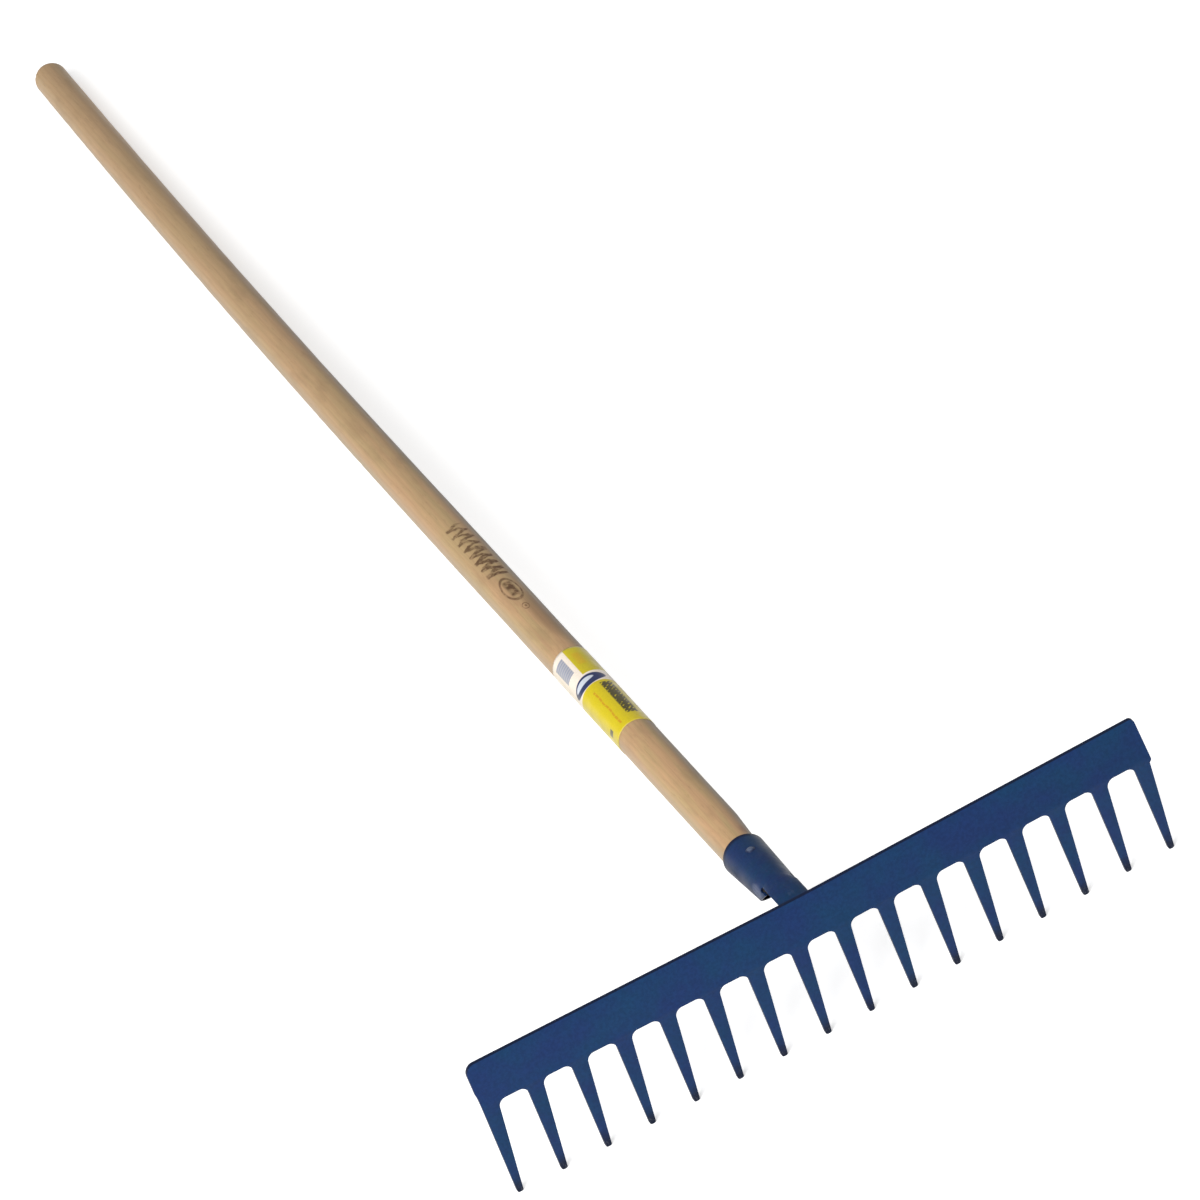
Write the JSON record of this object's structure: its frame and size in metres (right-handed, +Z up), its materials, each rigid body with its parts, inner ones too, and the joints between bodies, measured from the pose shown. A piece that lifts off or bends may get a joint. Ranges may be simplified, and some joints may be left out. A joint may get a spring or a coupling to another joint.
{
  "type": "garden rake",
  "caption": "Long-handled garden rake: level stamped steel head with straight tapered tines, rolled socket welded behind it, wooden handle with a label.",
  "frame": {"origin": "middle of the bottom of the whole rake's box, on the plane that the tine tips and the handle's far end rest on", "axes": "+X along the head, +Y from the head towards the handle's far end, +Z up, opposite to the way the tines point"},
  "size_m": [0.4922, 1.5188, 0.1019],
  "materials": {
    "blue_paint": "satin blue paint on sheet steel",
    "socket_paint": "satin blue paint on rolled sheet steel",
    "weld_paint": "satin blue paint over a weld bead",
    "nail": "painted steel nail head, worn",
    "wood": "planed and sanded beech or ash, thin clear lacquer",
    "label": null
  },
  "bodies": {
    "root": {"rake_head": "blue_paint", "handle_socket": "socket_paint", "neck_weld": "weld_paint", "socket_nail": "nail", "wooden_handle": "wood", "paper_label": "label"}
  },
  "joints": []
}
